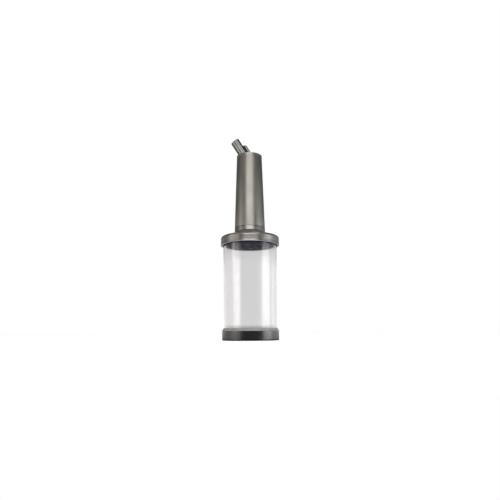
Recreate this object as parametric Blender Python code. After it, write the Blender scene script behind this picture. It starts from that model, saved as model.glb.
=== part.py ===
"""A bar pour bottle: a clear container in a dark base cup, a screw lid, a tall neck and a leaning metal spout.

It stands on z = 0 with its axis on Z, and the spout leans towards -X.
Lengths are in metres and angles in degrees. Every height is worked out from the piece below it.
"""

import math

import bmesh
import bpy
from mathutils import Vector

# Fineness of the round pieces
SEGMENTS = 48
TUBE_SEGMENTS = 24
ARC_STEPS = 3
BEND_STEPS = 6
SHARP_ANGLE = 35
MERGE_DISTANCE = 1e-6

# Gaps between pieces
FIT = 0.0003
TUBE_FIT = 0.0002
THREAD_CLEARANCE = 0.0004
THREAD_PLAY = 0.0003
SEAL_CLEARANCE = 0.00015

# Base cup
BASE_WALL = 0.00295
BASE_WALL_TOP = 0.0150
BASE_CUP_HEIGHT = 0.0192
BASE_LIP = 0.0006
BASE_FLOOR = 0.0030
BASE_EDGE = 0.0016
BASE_RIM_WIDTH = 0.0050
BASE_RECESS = 0.0010

# Container
CONTAINER_RADIUS = 0.04175
CONTAINER_WALL = 0.0025
CONTAINER_FLOOR = 0.0040
CONTAINER_HEIGHT = 0.1544
CONTAINER_FOOT_ROUND = 0.0030
CONTAINER_FLOOR_ROUND = 0.0040
CONTAINER_RIM_EDGE = 0.0005

# Thread between the container and the lid
MOUTH_PITCH = 0.0045
MOUTH_TURNS = 1.1
MOUTH_THREAD_DEPTH = 0.0011
MOUTH_THREAD_ROOT = 0.0020
MOUTH_THREAD_CREST = 0.0010
MOUTH_THREAD_DROP = 0.0014
MOUTH_LEAD_IN = 0.0015

# Lid and its gasket
LID_WALL = 0.00255
LID_SKIRT_DEPTH = 0.0111
LID_EDGE_THICKNESS = 0.0025
LID_SHOULDER_ROUND = 0.0038
LID_CROWN_RISE = 0.0039
LID_CROWN_WALL = 0.0025
LID_BEAD = 0.0004
LID_BEAD_HEIGHT = 0.0020
LID_SEAT_MARGIN = 0.0006
GASKET_THICKNESS = 0.0018
GASKET_WIDTH = 0.0047

# Seal, ring and thread at the neck's foot
NECK_SEAL_THICKNESS = 0.0029
NECK_SEAL_INSET = 0.0008
NECK_RING_HEIGHT = 0.0064
NECK_RING_PROUD = 0.0003
NECK_RING_EDGE = 0.0004
BOSS_WALL = 0.0020
BOSS_EDGE = 0.0005
NECK_PITCH = 0.0040
NECK_TURNS = 1.5
NECK_THREAD_DEPTH = 0.0009
NECK_THREAD_ROOT = 0.0016
NECK_THREAD_CREST = 0.0009
NECK_THREAD_RISE = 0.0022
NECK_LEAD_IN = 0.0012

# Neck
NECK_HEIGHT = 0.1085
NECK_FOOT_RADIUS = 0.02375
NECK_TOP_RADIUS = 0.01965
NECK_FOOT_WALL = 0.0017
NECK_SHOULDER_WALL = 0.0038
NECK_TOP_WALL = 0.00245
NECK_SOCKET_DEPTH = 0.0115
PLUG_SOCKET_DEPTH = 0.0362

# Spout plug and its seal rings
PLUG_FLANGE = 0.0040
PLUG_EDGE = 0.0012
PLUG_DEPTH = 0.0332
PLUG_CLEARANCE = 0.0010
SEAL_COUNT = 3
SEAL_PITCH = 0.0085
SEAL_HEIGHT = 0.0030
SEAL_GROOVE = 0.0010
FIRST_SEAL_DROP = 0.0062

# Pour tube and breather tube
SPOUT_LEAN = 32.4
SPOUT_BEND_RADIUS = 0.0200
SPOUT_BEND_DROP = 0.01306
SPOUT_REACH = 0.0359
POUR_TUBE_RADIUS = 0.0067
POUR_TUBE_WALL = 0.0006
POUR_TUBE_TAIL = 0.0020
BREATHER_RADIUS = 0.0022
BREATHER_WALL = 0.0004
BREATHER_RISE = 0.0175
BREATHER_TAIL = 0.0220
TUBE_GAP = 0.0008

# Overrun of cutting and joining shapes past the faces that they cross
OVERRUN = 0.0040
THREAD_SINK = 0.0005

# Radii from the axis outwards
BASE_BORE = CONTAINER_RADIUS + FIT
BASE_RADIUS = BASE_BORE + BASE_WALL
CONTAINER_BORE = CONTAINER_RADIUS - CONTAINER_WALL
MOUTH_CREST_RADIUS = CONTAINER_RADIUS + MOUTH_THREAD_DEPTH
LID_BORE = MOUTH_CREST_RADIUS + THREAD_CLEARANCE
LID_RADIUS = LID_BORE + LID_WALL
LID_CREST_RADIUS = CONTAINER_RADIUS + THREAD_CLEARANCE
GASKET_RADIUS = LID_BORE - FIT
GASKET_BORE = GASKET_RADIUS - GASKET_WIDTH
NECK_BORE = NECK_FOOT_RADIUS - NECK_FOOT_WALL
BOSS_CREST_RADIUS = NECK_BORE - THREAD_CLEARANCE
BOSS_RADIUS = BOSS_CREST_RADIUS - NECK_THREAD_DEPTH
BOSS_BORE = BOSS_RADIUS - BOSS_WALL
NECK_CREST_RADIUS = BOSS_RADIUS + THREAD_CLEARANCE
NECK_RING_RADIUS = NECK_FOOT_RADIUS + NECK_RING_PROUD
NECK_RING_BORE = BOSS_CREST_RADIUS + FIT
PLUG_SOCKET_RADIUS = NECK_TOP_RADIUS - NECK_TOP_WALL
PLUG_RADIUS = PLUG_SOCKET_RADIUS - PLUG_CLEARANCE
SEAL_RADIUS = PLUG_SOCKET_RADIUS - SEAL_CLEARANCE
SEAL_BORE = PLUG_RADIUS - SEAL_GROOVE + FIT
TUBE_SPACING = POUR_TUBE_RADIUS + BREATHER_RADIUS + TUBE_GAP

# Heights from the ground upwards
CONTAINER_FOOT = BASE_FLOOR + FIT
CONTAINER_RIM = CONTAINER_FOOT + CONTAINER_HEIGHT
GASKET_FOOT = CONTAINER_RIM + FIT
LID_CEILING = GASKET_FOOT + GASKET_THICKNESS + FIT
LID_FOOT = LID_CEILING - LID_SKIRT_DEPTH
LID_EDGE_TOP = LID_CEILING + LID_EDGE_THICKNESS
LID_SEAT = LID_EDGE_TOP + LID_CROWN_RISE
NECK_SEAL_FOOT = LID_SEAT + FIT
NECK_RING_FOOT = NECK_SEAL_FOOT + NECK_SEAL_THICKNESS + FIT
NECK_FOOT = NECK_RING_FOOT + NECK_RING_HEIGHT + FIT
NECK_SHOULDER = NECK_FOOT + NECK_SOCKET_DEPTH
BOSS_TOP = NECK_SHOULDER - FIT
NECK_TOP = NECK_FOOT + NECK_HEIGHT
PLUG_SEAT = NECK_TOP + FIT
PLUG_TOP = PLUG_SEAT + PLUG_FLANGE
PLUG_FOOT = PLUG_SEAT - PLUG_DEPTH
BEND_START = PLUG_SEAT - SPOUT_BEND_DROP
BREATHER_TOP = PLUG_TOP + BREATHER_RISE
MOUTH_THREAD_FOOT = CONTAINER_RIM - MOUTH_THREAD_DROP - MOUTH_PITCH * MOUTH_TURNS
BOSS_THREAD_FOOT = NECK_FOOT + NECK_THREAD_RISE

# Form of each thread: pitch, turns, width at the root and width at the crest
MOUTH_THREAD = (MOUTH_PITCH, MOUTH_TURNS, MOUTH_THREAD_ROOT, MOUTH_THREAD_CREST)
NECK_THREAD = (NECK_PITCH, NECK_TURNS, NECK_THREAD_ROOT, NECK_THREAD_CREST)


def clear_scene():
    for old in list(bpy.data.objects):
        bpy.data.objects.remove(old)


def make_material(name, colour, roughness, metallic=0.0, transmission=0.0):
    """A Principled material with one colour and finish."""
    made = bpy.data.materials.new(name)
    made.use_nodes = True
    made.diffuse_color = (*colour, 1.0)
    shader = made.node_tree.nodes["Principled BSDF"]
    shader.inputs["Base Color"].default_value = (*colour, 1.0)
    shader.inputs["Roughness"].default_value = roughness
    shader.inputs["Metallic"].default_value = metallic
    shader.inputs["Transmission Weight"].default_value = transmission
    return made


def add_object(name, bm, material):
    """Turns a bmesh into an object with smooth round faces and sharp edges."""
    bmesh.ops.recalc_face_normals(bm, faces=bm.faces)
    mesh = bpy.data.meshes.new(name)
    bm.to_mesh(mesh)
    bm.free()
    mesh.shade_smooth()
    mesh.set_sharp_from_angle(angle=math.radians(SHARP_ANGLE))
    if material:
        mesh.materials.append(material)
    made = bpy.data.objects.new(name, mesh)
    bpy.context.scene.collection.objects.link(made)
    return made


def make_guide(made):
    """Marks a shape that only cuts or joins another."""
    made.hide_render = True
    made.display_type = "WIRE"
    return made


def combine(target, other, operation):
    """Cuts or joins target with a guide shape."""
    modifier = target.modifiers.new(other.name, "BOOLEAN")
    modifier.operation = operation
    modifier.object = make_guide(other)


def arc(centre_radius, centre_height, radius, start, end):
    """Points of an outline's round stretch, from start to end degrees, 0 pointing away from the axis."""
    points = []
    for step in range(ARC_STEPS + 1):
        angle = math.radians(start + (end - start) * step / ARC_STEPS)
        across = centre_radius + radius * math.cos(angle)
        points.append((across, centre_height + radius * math.sin(angle)))
    return points


def turned(name, outline, material):
    """Spins an outline of (radius, height) points round Z. An outline that starts on the axis also ends there."""
    bm = bmesh.new()
    points = [bm.verts.new((radius, 0.0, height)) for radius, height in outline]
    pairs = list(zip(points, points[1:]))
    if outline[0][0] > 0.0:
        pairs.append((points[-1], points[0]))
    edges = [bm.edges.new(pair) for pair in pairs]
    bmesh.ops.spin(
        bm,
        geom=points + edges,
        axis=(0.0, 0.0, 1.0),
        cent=(0.0, 0.0, 0.0),
        angle=math.tau,
        steps=SEGMENTS,
        use_merge=True,
    )
    bmesh.ops.remove_doubles(bm, verts=bm.verts, dist=MERGE_DISTANCE)
    bmesh.ops.dissolve_degenerate(bm, edges=bm.edges, dist=MERGE_DISTANCE)
    return add_object(name, bm, material)


def thread_ridge(name, wall, crest, foot, form, start_turn=0.0):
    """A helical ridge that stands from a wall radius to a crest radius, with its root sunk into the wall."""
    pitch, turns, root_width, crest_width = form
    outward = 1.0 if crest > wall else -1.0
    root = wall - outward * THREAD_SINK
    flank_slope = (root_width - crest_width) / abs(crest - wall)
    sunk_width = root_width + flank_slope * THREAD_SINK
    section = (
        (root, -sunk_width / 2),
        (crest, -crest_width / 2),
        (crest, crest_width / 2),
        (root, sunk_width / 2),
    )
    steps = round(turns * SEGMENTS)
    first = math.ceil(start_turn * SEGMENTS)
    bm = bmesh.new()
    rings = []
    for step in range(first, first + steps + 1):
        angle = math.tau * step / SEGMENTS
        height = foot + pitch * step / SEGMENTS
        ring = []
        for radius, offset in section:
            across = (radius * math.cos(angle), radius * math.sin(angle))
            ring.append(bm.verts.new((*across, height + offset)))
        rings.append(ring)
    for ring, after in zip(rings, rings[1:]):
        for k in range(len(section)):
            n = (k + 1) % len(section)
            bm.faces.new((ring[k], ring[n], after[n], after[k]))
    bm.faces.new(rings[0])
    bm.faces.new(rings[-1])
    return add_object(name, bm, None)


def mating_ridge(name, wall, crest, mate_foot, lowest, form):
    """The ridge of the piece that screws on. It lies under its mate's ridge and starts just above its own edge."""
    pitch, _, root_width, crest_width = form
    foot = mate_foot - (root_width + crest_width) / 2 - THREAD_PLAY
    return thread_ridge(name, wall, crest, foot, form, (lowest - foot) / pitch)


def spout_line(offset, foot, reach):
    """Places (centre, side, along) on a tube's line: straight up, round the bend, then straight along the lean."""
    radius = SPOUT_BEND_RADIUS + offset
    places = [(Vector((offset, 0.0, foot)), 0.0)]
    for step in range(BEND_STEPS + 1):
        angle = math.radians(SPOUT_LEAN) * step / BEND_STEPS
        across = radius * math.cos(angle) - SPOUT_BEND_RADIUS
        places.append((Vector((across, 0.0, BEND_START + radius * math.sin(angle))), angle))
    last, angle = places[-1]
    along = Vector((-math.sin(angle), 0.0, math.cos(angle)))
    places.append((last + along * reach, angle))
    line = []
    for centre, angle in places:
        side = Vector((math.cos(angle), 0.0, math.sin(angle)))
        along = Vector((-math.sin(angle), 0.0, math.cos(angle)))
        line.append((centre, side, along))
    return line


def sweep(bm, line, radius, level_top):
    """Rings of points round a line. With level_top, the last ring is cut off level at that height."""
    rings = []
    for centre, side, along in line:
        ring = []
        for k in range(TUBE_SEGMENTS):
            angle = math.tau * k / TUBE_SEGMENTS
            around = side * math.cos(angle) + Vector((0.0, math.sin(angle), 0.0))
            point = centre + around * radius
            if level_top and line[-1][0] == centre:
                point += along * ((level_top - point.z) / along.z)
            ring.append(bm.verts.new(point))
        rings.append(ring)
    for ring, after in zip(rings, rings[1:]):
        for k in range(TUBE_SEGMENTS):
            n = (k + 1) % TUBE_SEGMENTS
            bm.faces.new((ring[k], ring[n], after[n], after[k]))
    return rings[0], rings[-1]


def tube(name, line, radius, wall, material, level_top=None):
    """A bent tube with an open bore."""
    bm = bmesh.new()
    outer = sweep(bm, line, radius, level_top)
    inner = sweep(bm, line, radius - wall, level_top)
    for outer_ring, inner_ring in zip(outer, inner):
        for k in range(TUBE_SEGMENTS):
            n = (k + 1) % TUBE_SEGMENTS
            bm.faces.new((outer_ring[k], outer_ring[n], inner_ring[n], inner_ring[k]))
    return add_object(name, bm, material)


def rod(name, line, radius):
    """A bent solid rod that cuts a tube's hole."""
    bm = bmesh.new()
    first, last = sweep(bm, line, radius, None)
    bm.faces.new(first)
    bm.faces.new(last)
    return add_object(name, bm, None)


def make_base_cup(material):
    rim_bore = BASE_RADIUS - BASE_EDGE - BASE_RIM_WIDTH
    outline = [
        (0.0, BASE_RECESS),
        (rim_bore - BASE_RECESS, BASE_RECESS),
        (rim_bore, 0.0),
        *arc(BASE_RADIUS - BASE_EDGE, BASE_EDGE, BASE_EDGE, -90, 0),
        (BASE_RADIUS, BASE_WALL_TOP),
        (BASE_BORE + BASE_LIP, BASE_CUP_HEIGHT),
        (BASE_BORE, BASE_CUP_HEIGHT),
        (BASE_BORE, BASE_FLOOR),
        (0.0, BASE_FLOOR),
    ]
    return turned("base_cup", outline, material)


def make_container(material):
    floor = CONTAINER_FOOT + CONTAINER_FLOOR
    foot_centre = CONTAINER_RADIUS - CONTAINER_FOOT_ROUND
    floor_centre = CONTAINER_BORE - CONTAINER_FLOOR_ROUND
    outline = [
        (0.0, CONTAINER_FOOT),
        *arc(foot_centre, CONTAINER_FOOT + CONTAINER_FOOT_ROUND, CONTAINER_FOOT_ROUND, -90, 0),
        (CONTAINER_RADIUS, CONTAINER_RIM - CONTAINER_RIM_EDGE),
        (CONTAINER_RADIUS - CONTAINER_RIM_EDGE, CONTAINER_RIM),
        (CONTAINER_BORE + CONTAINER_RIM_EDGE, CONTAINER_RIM),
        (CONTAINER_BORE, CONTAINER_RIM - CONTAINER_RIM_EDGE),
        *arc(floor_centre, floor + CONTAINER_FLOOR_ROUND, CONTAINER_FLOOR_ROUND, 0, -90),
        (0.0, floor),
    ]
    container = turned("container", outline, material)
    ridge = thread_ridge(
        "container_thread", CONTAINER_RADIUS, MOUTH_CREST_RADIUS, MOUTH_THREAD_FOOT, MOUTH_THREAD
    )
    combine(container, ridge, "UNION")


def make_lid(material):
    outline = [
        (LID_RADIUS, LID_FOOT),
        (LID_RADIUS + LID_BEAD, LID_FOOT + LID_BEAD),
        (LID_RADIUS + LID_BEAD, LID_FOOT + LID_BEAD_HEIGHT - LID_BEAD),
        (LID_RADIUS, LID_FOOT + LID_BEAD_HEIGHT),
        *arc(LID_RADIUS - LID_SHOULDER_ROUND, LID_EDGE_TOP - LID_SHOULDER_ROUND, LID_SHOULDER_ROUND, 0, 90),
        (NECK_RING_RADIUS + LID_SEAT_MARGIN, LID_SEAT),
        (BOSS_RADIUS, LID_SEAT),
        (BOSS_RADIUS, BOSS_TOP - BOSS_EDGE),
        (BOSS_RADIUS - BOSS_EDGE, BOSS_TOP),
        (BOSS_BORE, BOSS_TOP),
        (BOSS_BORE, LID_SEAT - LID_CROWN_WALL),
        (BOSS_RADIUS, LID_SEAT - LID_CROWN_WALL),
        (GASKET_BORE - FIT, LID_CEILING),
        (LID_BORE, LID_CEILING),
        (LID_BORE, LID_FOOT),
    ]
    lid = turned("lid", outline, material)
    lowest = LID_FOOT + MOUTH_LEAD_IN
    ridge = mating_ridge(
        "lid_thread", LID_BORE, LID_CREST_RADIUS, MOUTH_THREAD_FOOT, lowest, MOUTH_THREAD
    )
    combine(lid, ridge, "UNION")
    boss_ridge = thread_ridge(
        "boss_thread", BOSS_RADIUS, BOSS_CREST_RADIUS, BOSS_THREAD_FOOT, NECK_THREAD
    )
    combine(lid, boss_ridge, "UNION")


def make_flat_ring(name, bore, radius, foot, thickness, material, edge=0.0):
    """A turned ring, its two outer edges bevelled where edge is given."""
    top = foot + thickness
    if edge:
        outer = [(radius - edge, foot), (radius, foot + edge), (radius, top - edge), (radius - edge, top)]
    else:
        outer = [(radius, foot), (radius, top)]
    return turned(name, [(bore, foot), *outer, (bore, top)], material)


def make_neck(material):
    socket_foot = NECK_TOP - PLUG_SOCKET_DEPTH
    shoulder_share = NECK_SOCKET_DEPTH / NECK_HEIGHT
    shoulder_outer = NECK_FOOT_RADIUS + (NECK_TOP_RADIUS - NECK_FOOT_RADIUS) * shoulder_share
    shoulder_bore = shoulder_outer - NECK_SHOULDER_WALL
    outline = [
        (NECK_FOOT_RADIUS, NECK_FOOT),
        (NECK_TOP_RADIUS, NECK_TOP),
        (PLUG_SOCKET_RADIUS, NECK_TOP),
        (PLUG_SOCKET_RADIUS, socket_foot),
        (shoulder_bore, NECK_SHOULDER),
        (NECK_BORE, NECK_SHOULDER),
        (NECK_BORE, NECK_FOOT),
    ]
    neck = turned("neck", outline, material)
    lowest = NECK_FOOT + NECK_LEAD_IN
    ridge = mating_ridge(
        "neck_thread", NECK_BORE, NECK_CREST_RADIUS, BOSS_THREAD_FOOT, lowest, NECK_THREAD
    )
    combine(neck, ridge, "UNION")


def seal_heights():
    """Middle height of each seal ring on the plug, from the top one down."""
    return [PLUG_SEAT - FIRST_SEAL_DROP - SEAL_PITCH * number for number in range(SEAL_COUNT)]


def make_plug(material, pour_cutter, breather_cutter):
    groove_radius = PLUG_RADIUS - SEAL_GROOVE
    outline = [
        (0.0, PLUG_TOP),
        *arc(NECK_TOP_RADIUS - PLUG_EDGE, PLUG_TOP - PLUG_EDGE, PLUG_EDGE, 90, 0),
        (NECK_TOP_RADIUS, PLUG_SEAT),
        (PLUG_RADIUS, PLUG_SEAT),
    ]
    for middle in seal_heights():
        top, foot = middle + SEAL_HEIGHT / 2, middle - SEAL_HEIGHT / 2
        outline += [(PLUG_RADIUS, top), (groove_radius, top), (groove_radius, foot), (PLUG_RADIUS, foot)]
    outline += [(PLUG_RADIUS, PLUG_FOOT), (0.0, PLUG_FOOT)]
    plug = turned("spout_plug", outline, material)
    combine(plug, pour_cutter, "DIFFERENCE")
    combine(plug, breather_cutter, "DIFFERENCE")


def make_plug_seals(material):
    """Rubber rings that bulge towards the neck's bore."""
    names = ("plug_seal_upper", "plug_seal_middle", "plug_seal_lower")
    half = SEAL_HEIGHT / 2 - FIT
    for name, middle in zip(names, seal_heights()):
        outline = [
            (SEAL_BORE, middle - half),
            (PLUG_RADIUS, middle - half),
            (SEAL_RADIUS, middle),
            (PLUG_RADIUS, middle + half),
            (SEAL_BORE, middle + half),
        ]
        turned(name, outline, material)


def make_spout(tube_material, plug_material):
    pour_line = spout_line(0.0, PLUG_FOOT - POUR_TUBE_TAIL, SPOUT_REACH)
    breather_line = spout_line(TUBE_SPACING, PLUG_FOOT - BREATHER_TAIL, SPOUT_REACH)
    tube("pour_tube", pour_line, POUR_TUBE_RADIUS, POUR_TUBE_WALL, tube_material)
    tube("breather_tube", breather_line, BREATHER_RADIUS, BREATHER_WALL, tube_material, BREATHER_TOP)
    cutter_foot = PLUG_FOOT - OVERRUN
    pour_cutter = rod("pour_hole", spout_line(0.0, cutter_foot, SPOUT_REACH), POUR_TUBE_RADIUS + TUBE_FIT)
    breather_cutter = rod(
        "breather_hole", spout_line(TUBE_SPACING, cutter_foot, SPOUT_REACH), BREATHER_RADIUS + TUBE_FIT
    )
    make_plug(plug_material, pour_cutter, breather_cutter)


def main():
    clear_scene()
    clear_plastic = make_material("clear_plastic", (0.90, 0.90, 0.90), 0.05, transmission=0.95)
    dark_plastic = make_material("dark_plastic", (0.045, 0.043, 0.042), 0.35)
    metallic_plastic = make_material("metallic_plastic", (0.33, 0.32, 0.30), 0.38, metallic=0.85)
    steel = make_material("polished_steel", (0.55, 0.54, 0.52), 0.18, metallic=1.0)
    gasket_rubber = make_material("gasket_rubber", (0.03, 0.04, 0.07), 0.6)
    seal_rubber = make_material("seal_rubber", (0.03, 0.03, 0.03), 0.6)

    make_base_cup(dark_plastic)
    make_container(clear_plastic)
    make_flat_ring("lid_gasket", GASKET_BORE, GASKET_RADIUS, GASKET_FOOT, GASKET_THICKNESS, gasket_rubber)
    make_lid(metallic_plastic)
    make_flat_ring(
        "neck_seal",
        BOSS_RADIUS + FIT,
        NECK_RING_RADIUS - NECK_SEAL_INSET,
        NECK_SEAL_FOOT,
        NECK_SEAL_THICKNESS,
        seal_rubber,
    )
    make_flat_ring(
        "neck_ring",
        NECK_RING_BORE,
        NECK_RING_RADIUS,
        NECK_RING_FOOT,
        NECK_RING_HEIGHT,
        metallic_plastic,
        NECK_RING_EDGE,
    )
    make_neck(metallic_plastic)
    make_plug_seals(seal_rubber)
    make_spout(steel, metallic_plastic)


main()
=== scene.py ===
import math

import bmesh
import bpy
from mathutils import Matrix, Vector


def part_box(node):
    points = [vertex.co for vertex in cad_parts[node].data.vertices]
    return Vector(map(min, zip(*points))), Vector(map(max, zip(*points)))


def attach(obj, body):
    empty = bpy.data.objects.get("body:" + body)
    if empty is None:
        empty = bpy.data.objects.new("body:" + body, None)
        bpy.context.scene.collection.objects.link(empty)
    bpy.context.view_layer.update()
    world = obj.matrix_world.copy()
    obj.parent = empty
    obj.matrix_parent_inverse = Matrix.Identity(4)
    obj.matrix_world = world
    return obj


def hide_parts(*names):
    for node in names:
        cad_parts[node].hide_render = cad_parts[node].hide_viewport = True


bl_info = {
    "name": "Pour Bottle",
    "version": (1, 0, 0),
    "blender": (4, 5, 0),
    "location": "3D View > Sidebar > Pour Bottle",
    "description": "Dresses a bar pour bottle in fine meshes and procedural finishes",
    "category": "Add Mesh",
}

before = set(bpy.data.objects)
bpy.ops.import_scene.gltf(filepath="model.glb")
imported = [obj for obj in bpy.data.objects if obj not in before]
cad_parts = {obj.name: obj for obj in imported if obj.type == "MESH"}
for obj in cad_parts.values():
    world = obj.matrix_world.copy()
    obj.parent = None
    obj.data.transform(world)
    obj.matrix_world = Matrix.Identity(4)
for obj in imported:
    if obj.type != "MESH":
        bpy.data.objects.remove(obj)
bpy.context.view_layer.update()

# Fineness of the meshes
SEGMENTS = 192
TUBE_SEGMENTS = 64
ROUND_STEPS = 6
BEND_STEPS = 24
THREAD_ROW = 0.00022
SHARP_ANGLE = math.radians(32)
NEAR = 1e-6

# Places that the frame gives
BASE_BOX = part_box("base_cup")
CONTAINER_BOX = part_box("container")
GASKET_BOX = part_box("lid_gasket")
LID_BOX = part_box("lid")
SEAL_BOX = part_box("neck_seal")
TRIM_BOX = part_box("neck_ring")
NECK_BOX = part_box("neck")
PLUG_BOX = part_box("spout_plug")
POUR_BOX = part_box("pour_tube")
AIR_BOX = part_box("breather_tube")
PLUG_SEALS = ("plug_seal_upper", "plug_seal_middle", "plug_seal_lower")

# Threads, as the frame's solids have them
THREAD_RUN_OUT = 0.06
THREAD_CLEARANCE = 0.0004
THREAD_PLAY = 0.0003
MOUTH_PITCH = 0.0045
MOUTH_TURNS = 1.1
MOUTH_ROOT = 0.0020
MOUTH_CREST = 0.0010
MOUTH_DEPTH = 0.0011
MOUTH_DROP = 0.0014
MOUTH_LEAD_IN = 0.0015
NECK_PITCH = 0.0040
NECK_TURNS = 1.5
NECK_ROOT = 0.0016
NECK_CREST = 0.0009
NECK_DEPTH = 0.0009
NECK_RISE = 0.0022
NECK_LEAD_IN = 0.0012

# Small fixed measures of the base's lip, the lid and its gasket, with round stretches in degrees
LIP_BEND = 45
BEAD_CREST = 0.6
BEAD_STEPS = 3
SHOULDER_BEND = 84
SHOULDER_STEPS = 12
SEAT_MARGIN = 0.0006
BOSS_EDGE = 0.0005
GASKET_WIDTH = 0.0047
GASKET_EDGE = 0.0003

# Heights of the lid's fine grooves over its foot
GROOVES = (0.0038, 0.0071)
GROOVE_STEPS = 5

# Small fixed measures of the rings, the stopper and the tubes
TRIM_EDGE = 0.0003
TRIM_TAPER = 0.0001
SEAL_EDGE = 0.0003
TUBE_EDGE = 0.00012

# How far the rods that cut the tubes' holes reach under the stopper
OVERRUN = 0.0040

# Gap between neighbouring pieces
GAP = 0.0003

# Attribute that carries a tube's own straightened coordinates
GRAIN = "drawn_grain"

# Half height of the border where one piece changes its colour
COLOUR_EDGE = 0.0002

# Size of each finish's pattern in metres
FLAKE = 0.00035
HANDLING_MARK = 0.018
PEEL = 0.0012
BLOTCH = 0.012
MOULD_GRAIN = 0.0005
RUBBED_PATCH = 0.015
HAZE = 0.02
RIPPLE = 0.03
RUBBER_GRAIN = 0.0006
DRAWN_LINE = 0.0006
STEEL_SMEAR = 0.008

# Roughness of the bare dark plastic and of the rubbers, and how much smoother the trim's coat is
BARE_ROUGHNESS = 0.45
RUBBER_ROUGHNESS = (0.55, 0.68)
TRIM_GLOSS = 0.055

# Camera, as fitted to the photograph's frame of 500 pixels
LENS = 31.92
SHIFT_ACROSS = -0.0012
SHIFT_UP = 0.162
ROLL = math.radians(0.42)

# Floor: its size and its glow where it is seen, and the colour of that glow and of the world
FLOOR_RADIUS = 6.0
FLOOR_SEGMENTS = 64
FLOOR_GLOW = 0.88
WHITE = (1.0, 1.0, 1.0, 1.0)

# The pool of light on the floor in reflections: its glow, its middle, and the distances over which it fades
POOL_GLOW = 0.8
POOL_PLACE = (0.0, 1.6, 0.0)
POOL_EDGE = (1.10, 1.50)

# The ring of light on the floor in reflections: its glow, and where it rises and falls, outwards
RING_GLOW = 0.30
RING_INNER = (0.10, 0.14)
RING_OUTER = (0.15, 0.22)

# Radiance of a lamp at full share, and the directions over which the low wall and the backdrop fade
GLOW = 5.0
WALL_TOP = (0.12, 0.20)
WALL_FRONT = (-0.40, 0.10)
BACKDROP = (0.975, 0.998)

# Each lamp: azimuth from the camera's side in degrees, reach, lower edge, upper edge, width,
# the height that it aims at, and the share of its size over which each edge fades
LAMPS = {
    "key": (2.0, 1.0, 0.40, 0.80, 1.25, 0.61, 0.20),
    "key_side": (-22.0, 1.0, 0.55, 0.85, 0.35, 0.60, 0.20),
    "high": (12.0, 1.0, 0.85, 1.15, 0.60, 0.30, 0.30),
    "high_left": (-60.0, 1.0, 1.00, 1.40, 0.50, 0.30, 0.30),
    "high_right": (40.0, 1.0, 1.00, 1.40, 0.60, 0.30, 0.30),
    "top": (0.0, 0.01, 0.85, 1.55, 0.70, 0.0, 0.30),
    "left": (-61.0, 0.8, -0.08, 0.38, 0.85, 0.15, 0.35),
    "left_tall": (-75.0, 0.8, 0.20, 0.46, 0.30, 0.20, 0.30),
    "right": (71.0, 0.8, -0.06, 0.35, 0.85, 0.15, 0.35),
    "right_back": (112.0, 0.9, -0.05, 0.32, 0.60, 0.15, 0.30),
    "back": (180.0, 1.0, 0.80, 1.30, 1.20, 0.30, 0.30),
}


def length(name, description, default):
    """A size in metres."""
    return bpy.props.FloatProperty(
        name=name, description=description, default=default, min=0.0, precision=5, unit="LENGTH"
    )


def tint(name, description, default):
    """A colour of a finish."""
    return bpy.props.FloatVectorProperty(
        name=name, description=description, default=default, min=0.0, max=1.0, size=3, subtype="COLOR"
    )


def share(name, description, default):
    """A share from 0 to 1."""
    return bpy.props.FloatProperty(
        name=name, description=description, default=default, min=0.0, max=1.0, subtype="FACTOR"
    )


def glow(name, which, default):
    """The brightness of a lamp or of the low wall."""
    return share(name, f"Radiance of the {which}, as a share of {GLOW:g}", default)


class BaseSettings(bpy.types.PropertyGroup):
    """Sizes and colour of the base cup."""

    wall_top: length("Wall top", "Height of the outer wall's upper edge", 0.0150)
    wall: length("Wall", "Thickness of the cup's wall", 0.00295)
    floor: length("Floor", "Height of the cup's inner floor", 0.0030)
    edge: length("Foot edge", "Radius of the rounded foot edge", 0.0016)
    lip: length("Lip", "Width of the flat lip round the container", 0.0006)
    rim: length("Standing rim", "Width of the ring that the bottle stands on", 0.0050)
    recess: length("Recess", "Depth of the recess inside the standing ring", 0.0010)
    colour: tint("Colour", "Colour of the base's plastic", (0.002, 0.002, 0.002))
    # Painted highlight: the shoulder's pale colour stands in for light from above catching the bevel
    rub: tint("Shoulder highlight", "Pale colour on the base's shoulder, a painted highlight", (0.285, 0.281, 0.279))
    roughness: share("Roughness", "Roughness of the base's plastic", 0.27)
    rub_roughness: share("Shoulder roughness", "Roughness of the base's shoulder", 0.60)


class ContainerSettings(bpy.types.PropertyGroup):
    """Sizes and colour of the clear container."""

    wall: length("Wall", "Thickness of the container's wall", 0.0025)
    floor: length("Floor", "Thickness of the container's floor", 0.0040)
    foot_round: length("Foot radius", "Outer radius round the foot", 0.0030)
    floor_round: length("Floor radius", "Inner radius round the floor", 0.0040)
    rim_edge: length("Rim edge", "Radius of the rim's rounded edges", 0.0005)
    colour: tint("Colour", "Tint of the clear plastic", (0.815, 0.808, 0.810))
    # Painted shade: the clear wall is tinted darker where it enters the dark cup, and that tint fades out
    # upwards
    joint: tint("Joint shade", "Darker tint of the clear plastic where it enters the cup, painted shade", (0.61, 0.605, 0.60))
    joint_fade: length("Joint fade", "Height over which that tint fades out above the cup", 0.0055)
    roughness: share("Roughness", "Roughness of the clear plastic", 0.08)


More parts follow.
